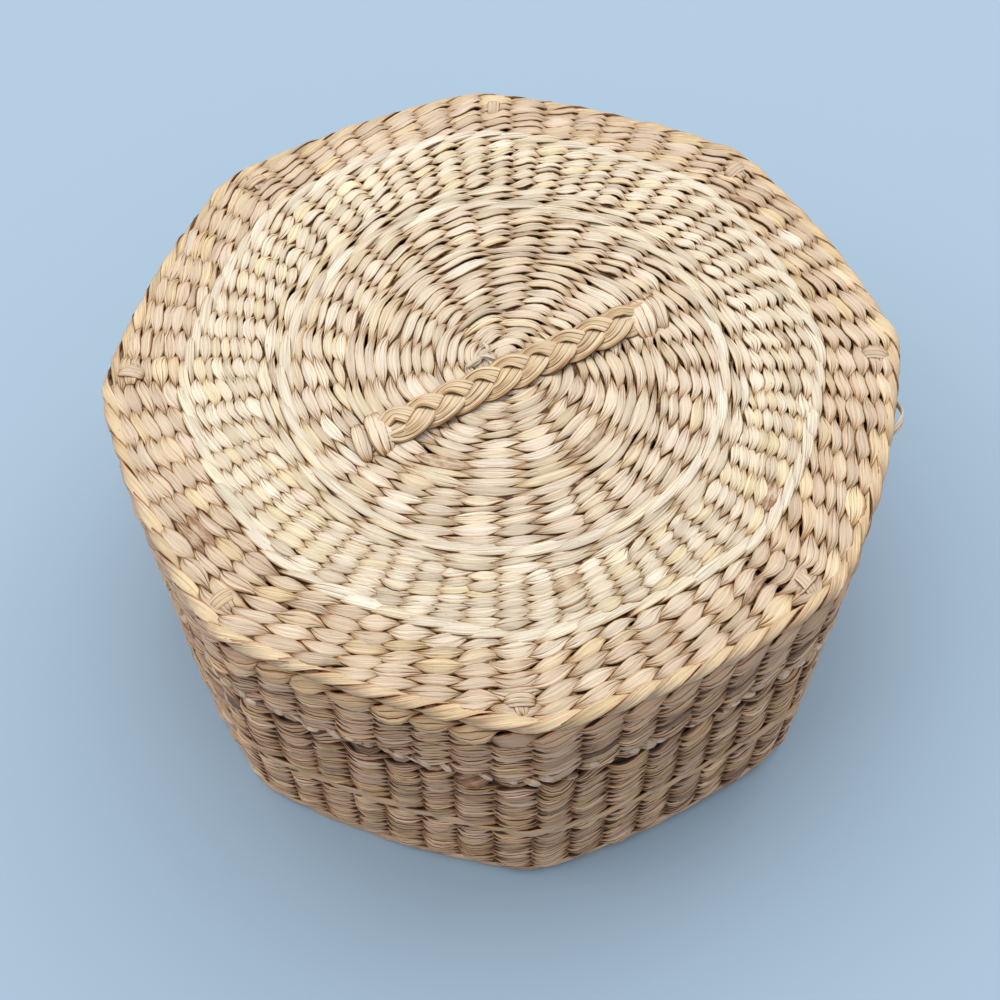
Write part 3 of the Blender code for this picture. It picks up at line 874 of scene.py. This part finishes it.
# the lid: three zones with a ring between each two, the rim's row of three strands, and the skirt
ringStyle = {"cross": 0.74, "middleWidth": 0.80, "headLift": 0.7, "lift": 0.35, "lean": 0.05,
             "grooveDepth": 0.15, "thick": 0.68}
lidWoven = [
    {"name": "lidCentreWefts", "finish": "dullGrass", "slot": "dull_grass",
     "replaces": ["lid_centre_weave"], "seed": 11, "rows": twinedRows, "face": lidTop,
     "bands": [band(1.6, 8.6, 2, 4), band(8.6, 20.0, 4, 8),
               band(20.0, 45.0, 8, 16, spots=[(105.5, 37.5, -0.95), (-116.5, 37.5, 0.7),
                                              (-45.5, 36, 0.6), (42.5, 36.5, -0.6)]),
               band(45.0, 60.2, 5, 32)],
     "style": {}},
    {"name": "lidInnerRingWefts", "finish": "paleGrass", "slot": "pale_grass",
     "replaces": ["lid_inner_ring_twist"], "rows": waleRow, "face": lidTop,
     "bands": [band(59.9, 63.9, 1, 32)], "style": ringStyle},
    {"name": "lidMiddleWefts", "finish": "brightGrass", "slot": "bright_grass",
     "replaces": ["lid_middle_weave"], "rows": twinedRows, "face": lidTop,
     "bands": [band(63.7, 69.2, 2, 32, spots=[(-14.5, 68, -0.7)]),
               band(69.2, 88.2, 6, 64, spots=[(12, 83, -0.6), (-35, 87, 0.8)])],
     "style": {"lean": -0.05, "padFill": 0.56}},
    {"name": "lidOuterRingWefts", "finish": "paleGrass", "slot": "pale_grass",
     "replaces": ["lid_outer_ring_twist"], "rows": waleRow, "face": lidTop,
     "bands": [band(88.0, 92.2, 1, 64)], "style": ringStyle},
    {"name": "lidOuterWefts", "finish": "outerGrass", "slot": "bright_grass",
     "replaces": ["lid_outer_weave"], "rows": twinedRows, "face": lidTop,
     "bands": [band(92.0, 111.1, 5, 64,
                    spots=[(23, 103.5, -0.9), (-146, 100, 0.7), (39.5, 98, 0.6)]
                    + [(angle, 94, -0.4) for angle in range(-112, -50, 6)])],
     "style": {"height": 1.05, "widthSpread": 0.18}},
    {"name": "lidRimRope", "finish": "ropeGrass", "slot": "rope_grass",
     "replaces": ["lid_rim_rope"], "seed": 23, "rows": waleRow, "face": rimFace,
     "bands": [band(-2.2, 2.2, 1, 64)],
     "style": {"height": 0.6, "thick": 0.56, "middleWidth": 0.82, "endWidth": 0.6, "lift": 0.25,
               "cross": 0.62, "grooveDepth": 0.10, "endShade": 0.05, "headLift": 0.3, "under": 0.4,
               "edge": 0.6}},
    # wide leaves under the rim, yellower between two angles, then narrow rows
    {"name": "lidSkirtFirstRow", "finish": "edgeGrass", "slot": "tan_grass",
     "seed": 31, "rows": twinedRows, "face": skirtFace,
     "bands": [band(0.2, 5.6, 1, 64, warmArc=(-127, -94))],
     "style": {"height": 1.4, "padThick": 0.65, "padFill": 0.66, "lean": 0.3, "bleached": 0.0,
               "bellyGroove": 0.4, "layerStep": 0.12}},
    {"name": "lidSkirtWefts", "finish": "tanGrass", "slot": "tan_grass",
     "replaces": ["lid_skirt_weave"], "rows": twinedRows, "face": skirtFace,
     "bands": [band(5.4, outline["skirtTop"] - outline["skirtBottom"] + 0.3, 7, 64)],
     "style": {"height": 1.2, "padThick": 0.5, "lean": 0.4, "padFill": 0.55, "twist": 0.42,
               "layerSpread": 0.6, "bleached": 0.0, "widthSpread": 0.26, "layerStep": 0.1, "tuck": 1.0,
               "section": "stack", "bellyGroove": 0.6}},
]
weave(lidWoven, "lid")
print("lid woven")

# the basket: stacked rows below and above the accent row, the row that turns the base up, and the neck,
# bound rim and base, which the photograph doesn't show
wallStyle = {"height": 1.4, "padFill": 0.54, "twist": 0.26, "padThick": 0.46, "lean": 0.45,
             "widthSpread": 0.26, "layerStep": 0.11, "tuck": 1.0, "crossFill": 0.22, "duty": 0.12,
             "layerSpread": 0.8, "bleached": 0.0, "section": "stack", "grooveDepth": 0.3,
             "bellyGroove": 0.75,
             "places": [-0.64, -0.55, -0.44, -0.28, -0.08, 0.12, 0.31, 0.46, 0.62, 0.98]}
plainStyle = {"height": 1.2, "section": "simple",
              "places": [-0.6, -0.42, -0.18, 0.1, 0.36, 0.56, 0.8, 1.0, 1.2]}
basketWoven = [
    {"name": "wallLowerWefts", "finish": "tanGrass", "slot": "tan_grass",
     "replaces": ["wall_lower_weave"], "seed": 37, "rows": twinedRows, "face": wallFace,
     "bands": [band(4.6, 31.8, 9, 64)], "style": wallStyle},
    {"name": "wallAccentWefts", "finish": "accentGrass", "slot": "rope_grass",
     "replaces": ["wall_accent_twist"], "rows": waleRow, "face": wallFace,
     "bands": [band(31.7, 37.1, 1, 64)],
     "style": {"height": 1.3, "lift": 0.35, "cross": 0.8, "middleWidth": 0.66}},
    {"name": "wallUpperWefts", "finish": "tanGrass", "slot": "tan_grass",
     "replaces": ["wall_upper_weave"], "rows": twinedRows, "face": wallFace,
     "bands": [band(36.6, 68.2, 10, 64)], "style": wallStyle},
    {"name": "baseEdgeTwist", "finish": "tanGrass", "slot": "tan_grass",
     "replaces": ["base_edge_twist"], "rows": waleRow, "face": wallFace,
     "bands": [band(0.2, 5.0, 1, 64)],
     "style": {"height": 1.0, "lift": 0.2, "cross": 0.6, "section": "plain"}},
    {"name": "neckWefts", "finish": "neckGrass", "slot": "dull_grass",
     "replaces": ["neck_weave"], "rows": twinedRows, "face": neckFace,
     "bands": [band(68.6, 96.2, 8, 64)], "style": plainStyle},
    {"name": "bodyRimBinding", "finish": "ropeGrass", "slot": "rope_grass",
     "replaces": ["body_rim_binding"], "rows": waleRow, "face": bindingFace,
     "bands": [band(-2.2, 2.2, 1, 64)], "style": {"height": 0.8, "section": "plain"}},
    {"name": "baseCentreWefts", "finish": "dullGrass", "slot": "dull_grass",
     "replaces": ["base_centre_weave"], "rows": twinedRows, "face": baseFace,
     "bands": [band(1.6, 8.6, 2, 4), band(8.6, 20.0, 3, 8), band(20.0, 45.0, 6, 16),
               band(45.0, 60.0, 4, 32)],
     "style": plainStyle},
    {"name": "baseRingWefts", "finish": "paleGrass", "slot": "pale_grass",
     "replaces": ["base_ring_twist"], "rows": waleRow, "face": baseFace,
     "bands": [band(59.8, 63.9, 1, 32)], "style": {"section": "plain"}},
    {"name": "baseOuterWefts", "finish": "tanGrass", "slot": "tan_grass",
     "replaces": ["base_outer_weave"], "rows": twinedRows, "face": baseFace,
     "bands": [band(63.8, 69.8, 2, 32), band(69.8, 108.4, 11, 64)], "style": plainStyle},
]
weave(basketWoven, "basket")
print("basket woven")

# stakes: flat bundles locked between the wefts
stakes = {
    "seed": 43,
    "halfThick": 0.5,
    "step": 4,  # about the length between two rings of a stake
    # painted shade over the whole stake, which lies deep in the weave
    "fold": 0.2,
    # start, end, number of stakes and half a stake's width
    "middle": [(0.6, 8.8, 4, 1.6), (8.0, 20.4, 8, 2.8), (19.4, 45.5, 16, 5.2), (44, 70, 32, 3.8)],
    "lidEdge": [(68.5, 89, 64, 2.9), (88, 111.6, 64, 3.9)],
    "baseEdge": [(68.5, 109.2, 64, 2.9)],
    "skirt": [(-2.2, 27.5, 64, 3.7)],
    "wall": [(1.0, 62, 64, 3.7), (60, 68.4, 64, 3.7)],
    "neck": [(67.0, 98.4, 64, 3.5)],
    # flat ones stand in the middle of the weave; upright ones are in two halves, inward and close together,
    # so that they follow the corners and no light comes through
    "flat": {"sunk": 0.0, "stray": 0.012, "parts": (0.0,)},
    "upright": {"sunk": 0.4, "stray": 0.002, "parts": (-0.25, 0.25)},
}


def stakeStrands(rng, surface, onLid, spans, stand):
    parts = stand["parts"]
    halfThick = stakes["halfThick"] - 0.25 * stand["sunk"]
    strands = []
    for start, end, columns, halfWidth in spans:
        s = np.linspace(start, end, max(3, int((end - start) / stakes["step"])))
        for place in range(columns * len(parts)):
            column = place // len(parts) + parts[place % len(parts)]
            angle = turns[columns] + tau / columns * column + stand["stray"] * rng.normal()
            point, normal = surfaceFrame(surface, angle + 0 * s, s, onLid)
            path = point - stand["sunk"] * normal
            strands.append(leafStrand(path, normal, halfWidth, halfThick, "simple", s - start,
                                      tone=0.5 * rng.normal(), warm=0.5 * rng.normal(),
                                      fold=stakes["fold"]))
    return strands


rng = np.random.default_rng(stakes["seed"])
strands = stakeStrands(rng, lidTop, True, stakes["middle"] + stakes["lidEdge"], stakes["flat"])
strands += stakeStrands(rng, skirtFace, True, stakes["skirt"], stakes["upright"])
buildPiece("lidStakes", strands, "lidStakeGrass", "lid", "dull_grass")
strands = stakeStrands(rng, baseFace, False, stakes["middle"] + stakes["baseEdge"], stakes["flat"])
strands += stakeStrands(rng, wallFace, False, stakes["wall"], stakes["upright"])
strands += stakeStrands(rng, neckFace, False, stakes["neck"], stakes["upright"])
buildPiece("basketStakes", strands, "stakeGrass", "basket", "dull_grass")
print("stakes made")

# the handle: three flat strands plaited and laid across the lid
plait = {
    "seed": 53,
    "length": 73.2,  # from the first crossing to the last
    "crossings": 16,
    "tail": 7.5,  # from the last crossing to the middle of the wrap
    "wrap": 5.0,
    "sway": 3.6,  # how far a strand goes to each side
    "lift": 0.85,
    "halfWidth": 3.0,
    "halfThick": 0.62,
    "standoff": 0.4,
    "endSpare": 1.5,
    "endDrop": 2.4,
    "angle": math.radians(25),
    "middle": (2.2, -5.0),
    "samplesPerCrossing": 14,
}
lidUpper = 1.75  # from the middle of the lid's weave to its upper face
straightUp = np.array([0.0, 0.0, 1.0])


def lidSurfaceLevel(x, y):
    crown = outline["lidCrown"] * (1 - (np.hypot(x, y) / outline["lidEdge"]) ** 2)
    return outline["lidMiddle"] + lidUpper + crown


def placePlait(distance, across, up):
    cos, sin = math.cos(plait["angle"]), math.sin(plait["angle"])
    x = plait["middle"][0] + cos * distance - sin * across
    y = plait["middle"][1] + sin * distance + cos * across
    return np.stack([x, y, lidSurfaceLevel(x, y) + up], -1)


def plaitOutward(lean):
    cos, sin = math.cos(plait["angle"]), math.sin(plait["angle"])
    return np.stack([-sin * np.sin(lean), cos * np.sin(lean), np.cos(lean)], -1)


def plaitStrand(rng, number):
    # a strand goes over the middle on its way in, and under it on its way out
    half = plait["length"] / 2
    end = half + plait["tail"] + plait["wrap"] / 2 + plait["endSpare"]
    distance = np.linspace(-end, end, plait["crossings"] * plait["samplesPerCrossing"])
    held = np.clip(distance, -half, half)
    turn = (held / plait["length"] + 0.5) * plait["crossings"] * math.pi / 3 + tau * number / 3
    gone = ease((np.abs(distance) - half) / (plait["tail"] - plait["wrap"] / 2))  # 1 under the wrap
    sunk = ease((np.abs(distance) - end + 4.0) / 4.0)  # 1 where it has gone into the lid
    sway = plait["sway"] * (1 + 0.05 * np.cos(distance * 0.13 + number))
    across = sway * np.sin(turn) * (1 - 0.45 * gone) + 0.5 * np.sin(distance * 0.045 + 0.4)
    up = plait["lift"] * (1 - np.sin(2 * turn)) * (1 - 0.6 * gone)
    up += plait["halfThick"] + plait["standoff"]
    path = placePlait(distance, across, up - plait["endDrop"] * sunk)
    outward = plaitOutward(0.34 * np.sin(turn) * (1 - gone))
    width = plait["halfWidth"] * (1 - 0.2 * np.abs(np.sin(turn)) ** 4) * (1 - 0.15 * gone)
    width *= 1 + 0.06 * np.cos(turn * 1.7 + 2 * number)
    groove = 0.22 + 0.1 * np.cos(turn * 1.3 + number)
    rise = np.stack([0.12 * np.cos(turn + k) for k in (0, 2, 4)], -1)
    tones = perLayer("fine", np.stack([0.5 * np.cos(0.9 * turn + k + number) for k in (0, 1.7, 3.9)], -1))
    # painted shade where the strand turns under the others, in its grooves and at its edges
    fold = foldMarks("fine", 0.25 * np.abs(np.sin(turn)) ** 3, 0.8 * np.clip(groove / 0.2, 0, 1.1), 0.9)
    return leafStrand(path, outward, width, plait["halfThick"], "fine", distance - distance[0],
                      warp=0.18 * np.cos(0.8 * turn + number), depth=groove, layers=rise,
                      tone=tones + 0.3 * rng.normal(),
                      warm=0.2 * rng.normal() + 0.1 + 0.3 * np.cos(turn * 0.5), fold=fold)


rng = np.random.default_rng(plait["seed"])
for number in range(3):
    buildPiece(f"plaitStrand_{number + 1}", [plaitStrand(rng, number)], "plaitGrass", "lid", "rope_grass",
               [f"handle_strand_{number + 1}"])

# two wide wefts of the lid pass over each end of the plait and go down again beside it
plaitWrap = {
    "wefts": [{"offset": -2.2, "reach": 7.4, "high": 3.1, "halfWidth": 3.9},
              {"offset": 3.4, "reach": 6.4, "high": 2.3, "halfWidth": 2.6}],
    "halfThick": 0.5,
    "drop": 1.0,  # how far its ends are below the lid's upper face
    "bow": 1.1,
    "lean": 0.08,
    "samples": 31,
}


def wrapStrands(rng, side):
    t = np.linspace(-1, 1, plaitWrap["samples"])
    strands = []
    for weft in plaitWrap["wefts"]:
        across = weft["reach"] * t + 0.3 * rng.normal()
        up = weft["high"] * (1 - np.abs(t) ** 2.2) - plaitWrap["drop"]
        distance = side * (plait["length"] / 2 + plait["tail"] + weft["offset"])
        path = placePlait(distance + plaitWrap["bow"] * np.sin(1.5 * t), across, up)
        width = weft["halfWidth"] * (1 - 0.55 * np.abs(t) ** 2.5)
        rise = np.tile([0.05, 0.0, -0.05], (len(t), 1))
        warp = 0.1 * rng.normal()
        tones = perLayer("fine", np.tile(0.5 * rng.normal(size=3), (len(t), 1))) + 0.2 * rng.normal()
        # painted shade toward the ends, where the weft goes down into the lid, in its grooves and at its
        # edges
        strands.append(leafStrand(path, plaitOutward(0.75 * t), width, plaitWrap["halfThick"], "fine",
                                  10 * (t + 1), lean=plaitWrap["lean"] * side, warp=warp,
                                  depth=0.1 + 0.12 * np.abs(t), layers=rise, tone=tones, warm=-0.3,
                                  fold=foldMarks("fine", 0.75 * np.abs(t) ** 4, 0.6, 0.9)))
    return strands


for side, name in ((-1, "left"), (1, "right")):
    buildPiece(f"plaitWrap_{name}", wrapStrands(rng, side), "dullGrass", "lid", "pale_grass",
               [f"handle_wrap_{name}"])
print("handle made")

# a stake end folded over the weave at each of the lid's corners, in two crossing turns
cornerLoop = {
    "seed": 61,
    "radius": 105.2,
    "offset": -2.5,  # degrees from the corner
    "turns": ({"turn": 0.05, "length": 7.6}, {"turn": 1.62, "length": 7.4}),  # radians from along the edge
    "heights": (1.1, 1.6),  # of the two turns: the second lies over the first
    "swappedHeights": (1.6, 1.0),
    "swapped": (0, 5),  # the corners where the first turn lies over the second
    "halfWidth": 1.9,
    "halfThick": 0.4,
    "drop": 0.9,  # how far the ends are below the lid's upper face
    "samples": 21,
}


def cornerLoopStrands(rng, index):
    angle = -math.pi / 2 + index * tau / 8 + math.radians(cornerLoop["offset"])
    radial = np.array([math.cos(angle), math.sin(angle), 0.0])
    around = np.array([-math.sin(angle), math.cos(angle), 0.0])
    heights = cornerLoop["swappedHeights"] if index in cornerLoop["swapped"] else cornerLoop["heights"]
    t = np.linspace(-1, 1, cornerLoop["samples"])
    strands = []
    for loop, height in zip(cornerLoop["turns"], heights):
        turn = loop["turn"] + 0.15 * rng.normal()
        direction = around * math.cos(turn) + radial * math.sin(turn)
        flat = radial * cornerLoop["radius"] + direction * (loop["length"] / 2 * t)[:, None]
        level = lidSurfaceLevel(flat[:, 0], flat[:, 1]) + height * (1 - np.abs(t) ** 2.2) - cornerLoop["drop"]
        path = flat + straightUp * level[:, None]
        outward = unit(straightUp + direction * (0.7 * t)[:, None])
        # painted shade toward the ends, where the turn goes down into the lid, in its grooves and at its
        # edges
        strands.append(leafStrand(path, outward, cornerLoop["halfWidth"] * (1 - 0.3 * t**4),
                                  cornerLoop["halfThick"], "fine", 5 * (t + 1), lean=0.15 * rng.normal(),
                                  warp=0.1, depth=0.14, tone=0.6 * rng.normal(), warm=0.5 * rng.normal(),
                                  fold=foldMarks("fine", 0.7 * np.abs(t) ** 5, 0.6, 0.7)))
    return strands


rng = np.random.default_rng(cornerLoop["seed"])
for index in range(8):
    buildPiece(f"cornerLoop_{index + 1}", cornerLoopStrands(rng, index), "outerGrass", "lid", "dull_grass",
               [f"corner_loop_{index + 1}"])

# the stakes' clipped ends below the skirt, two to a stake
clippedEnds = {
    "seed": 67,
    "halves": (-0.27, 0.2),  # where the two stand, in parts of the way between two stakes
    "level": 27.0,
    "length": (3.8, 6.2),
    "heading": (-0.3, 0.6),
    "standoff": (0.9, 1.7),
    "halfWidth": (1.1, 1.9),
    "halfThick": (0.6, 1.0),
    "samples": 11,
    "cutRings": 6,  # rings at the end that show the pale pith
    "cut": (0.45, 1.0),
}


def clippedEnd(rng, angle):
    t = np.linspace(-1, 1, clippedEnds["samples"])
    heading, length = rng.uniform(*clippedEnds["heading"]), rng.uniform(*clippedEnds["length"])
    s = clippedEnds["level"] + rng.uniform(-0.8, 1.4) + length / 2 * math.sin(heading) * t
    around = angle + length / 2 * math.cos(heading) * t / outline["skirtMiddle"]
    point, normal = surfaceFrame(skirtFace, around, s, True)
    path = point + normal * (rng.uniform(*clippedEnds["standoff"]) + 0.5 * t)[:, None]
    width = rng.uniform(*clippedEnds["halfWidth"]) * (1 - 0.7 * np.abs(t) ** 2.6)
    thick = rng.uniform(*clippedEnds["halfThick"]) * (1 - 0.5 * np.abs(t) ** 3)
    lean = 0.5 * rng.normal()
    cut = np.zeros(len(t))
    cut[-clippedEnds["cutRings"]:] = rng.uniform(*clippedEnds["cut"])
    cut += 0.2 * max(0.0, rng.normal())
    # painted shade toward the ends, in the grooves and at the edges
    return leafStrand(path, normal, width, thick, "fine", 5 * t, lean=lean, depth=0.2, cut=cut,
                      tone=0.8 * rng.normal(), warm=0.6 * rng.normal(),
                      fold=foldMarks("fine", 0.5 * np.abs(t) ** 3, 0.6, 1.0))


rng = np.random.default_rng(clippedEnds["seed"])
strands = []
for column in range(64):
    for half in clippedEnds["halves"]:
        strands.append(clippedEnd(rng, turns[64] + tau / 64 * (column + half + 0.1 * rng.normal())))
buildPiece("lidTrimmedEnds", strands, "stubGrass", "lid", "cut_ends", ["lid_trimmed_edge"])

# a frayed tuft beside the plait
tuft = {
    "seed": 71,
    "hairs": 9,
    "place": (-6.6, 2.4),
    "length": (2.5, 6.5),
    "heading": (-2.2, 0.6),
    "bend": (-1.2, 1.2),
    "rise": (0.3, 1.8),
    "halfWidth": (0.45, 1.1),
    "halfThick": 0.2,
    "samples": 9,
    "tone": 1.0,
    "cut": 0.25,
}


def tuftHair(rng):
    t = np.linspace(0, 1, tuft["samples"])
    heading = rng.uniform(*tuft["heading"])
    length = rng.uniform(*tuft["length"])
    start = np.array([place + 0.7 * rng.normal() for place in tuft["place"]])
    bend = heading + rng.uniform(*tuft["bend"]) * t
    flat = start + length * t[:, None] * np.stack([np.cos(bend), np.sin(bend)], -1)
    level = lidSurfaceLevel(flat[:, 0], flat[:, 1]) + rng.uniform(*tuft["rise"]) * np.sin(2.6 * t)
    path = np.concatenate([flat, level[:, None]], 1)
    width = rng.uniform(*tuft["halfWidth"]) * (1 - 0.4 * t)
    return leafStrand(path, straightUp, width, tuft["halfThick"], "simple", 5 * t,
                      lean=0.35 * rng.normal(), tone=tuft["tone"], cut=tuft["cut"])


rng = np.random.default_rng(tuft["seed"])
buildPiece("looseTuft", [tuftHair(rng) for hair in range(tuft["hairs"])], "dullGrass", "lid", "cut_ends")

# a leaf that has come loose at the rim and stands out in a bow
looseLoop = {
    "angle": math.radians(-16.2),
    "sweep": 0.13,
    "radius": 112.8,
    "bow": 3.6,
    "level": 99.4,
    "halfWidth": 1.3,
    "halfThick": 0.4,
    "tilt": 0.6,
    "tone": 1.0,
    "samples": 25,
}


def looseLoopStrand():
    t = np.linspace(0, 1, looseLoop["samples"])
    angle = looseLoop["angle"] + looseLoop["sweep"] * t
    radius = looseLoop["radius"] + looseLoop["bow"] * np.sin(math.pi * t)
    path = ringPoint(angle, radius, looseLoop["level"] + 1.2 * np.sin(3.6 * t), 1.0)
    outward = unit(path * (1 - straightUp)) + looseLoop["tilt"] * straightUp
    width = looseLoop["halfWidth"] - 0.5 * np.abs(2 * t - 1) ** 2
    # painted shade toward both ends, where the leaf goes into the rim, and a little in grooves and at edges
    return leafStrand(path, outward, width, looseLoop["halfThick"], "fine", 14 * t,
                      lean=0.5 * np.cos(4 * t), warp=0.1, depth=0.12, tone=looseLoop["tone"],
                      fold=foldMarks("fine", 0.5 * np.abs(2 * t - 1) ** 4, 0.3, 0.2, 0.0, 0.0))


buildPiece("looseLoop", [looseLoopStrand()], "dullGrass", "lid", "pale_grass")
print("small pieces made")

# floor, light, camera
studio = {
    "floor": (0.355, 0.478, 0.61),
    "floorSize": 9.0,
    "floorRoughness": 0.85,
    "floorSpecular": 0.1,
    "world": (0.93, 0.96, 1.0),
    "worldStrength": 0.62,
    "lights": {
        "keyLight": {"power": 22.5, "size": (3.0, 1.0), "place": (-0.1, 0.23, 1.3),
                     "colour": (1.0, 0.96, 0.90)},
        "fillLight": {"power": 0.4, "size": (0.8, 0.8), "place": (0.5, -0.9, 0.9),
                      "colour": (1.0, 0.98, 0.96)},
    },
    "aim": (0, 0, 0.08),
}


def makeFloor():
    mesh = bpy.data.meshes.new("floor")
    size = studio["floorSize"]
    corners = [(-size, -size, 0), (size, -size, 0), (size, size, 0), (-size, size, 0)]
    mesh.from_pydata(corners, [], [(0, 1, 2, 3)])
    floor = bpy.data.objects.new("floor", mesh)
    bpy.context.scene.collection.objects.link(floor)
    material = bpy.data.materials.new("paleFloor")
    material.use_nodes = True
    shader = material.node_tree.nodes["Principled BSDF"]
    shader.inputs["Base Color"].default_value = colour4(studio["floor"])
    shader.inputs["Roughness"].default_value = studio["floorRoughness"]
    shader.inputs["Specular IOR Level"].default_value = studio["floorSpecular"]
    mesh.materials.append(material)


def makeWorld():
    world = bpy.data.worlds.new("studio")
    bpy.context.scene.world = world
    world.use_nodes = True
    backdrop = world.node_tree.nodes["Background"]
    backdrop.inputs["Color"].default_value = colour4(studio["world"])
    backdrop.inputs["Strength"].default_value = studio["worldStrength"]


def areaLight(name, light):
    data = bpy.data.lights.new(name, "AREA")
    data.shape = "RECTANGLE"
    data.size, data.size_y = light["size"]
    data.energy = light["power"]
    data.color = light["colour"]
    lamp = bpy.data.objects.new(name, data)
    bpy.context.scene.collection.objects.link(lamp)
    lamp.location = light["place"]
    aim = Vector(studio["aim"]) - Vector(light["place"])
    lamp.rotation_euler = aim.to_track_quat("-Z", "Y").to_euler()


makeFloor()
makeWorld()
for name, light in studio["lights"].items():
    areaLight(name, light)
bpy.context.scene.view_settings.view_transform = "Standard"

cameraSet = {
    "elevation": 51.46,  # degrees
    "distance": 0.42813,
    "aimLevel": 0.10129,
    "roll": -0.32,  # degrees
    "pan": 0.0027,  # radians
    "tilt": -0.0863,  # radians
    "turn": -4.72,  # degrees
    "lens": 54.0,
    "sensor": 36.0,
    "clipStart": 0.01,
}


def makeCamera():
    elevation = math.radians(cameraSet["elevation"])
    back = Vector((0, -math.cos(elevation), math.sin(elevation)))
    forward, right = -back, Vector((1, 0, 0))
    up = right.cross(forward)
    spin = Matrix.Rotation(cameraSet["pan"], 3, up)
    forward, right, up = spin @ forward, spin @ right, spin @ up
    spin = Matrix.Rotation(cameraSet["tilt"], 3, right)
    forward, right, up = spin @ forward, spin @ right, spin @ up
    spin = Matrix.Rotation(math.radians(cameraSet["roll"]), 3, forward)
    right, up = spin @ right, spin @ up
    turned = Matrix.Rotation(math.radians(cameraSet["turn"]), 3, "Z")
    place = turned @ (back * cameraSet["distance"]) + Vector((0, 0, cameraSet["aimLevel"]))
    right, up, forward = turned @ right, turned @ up, turned @ forward
    data = bpy.data.cameras.new("camera")
    data.lens = cameraSet["lens"]
    data.sensor_width = cameraSet["sensor"]
    data.clip_start = cameraSet["clipStart"]
    camera = bpy.data.objects.new("camera", data)
    bpy.context.scene.collection.objects.link(camera)
    basis = Matrix((right, up, -forward)).transposed()
    camera.matrix_world = Matrix.Translation(place) @ basis.to_4x4()
    bpy.context.scene.camera = camera


makeCamera()
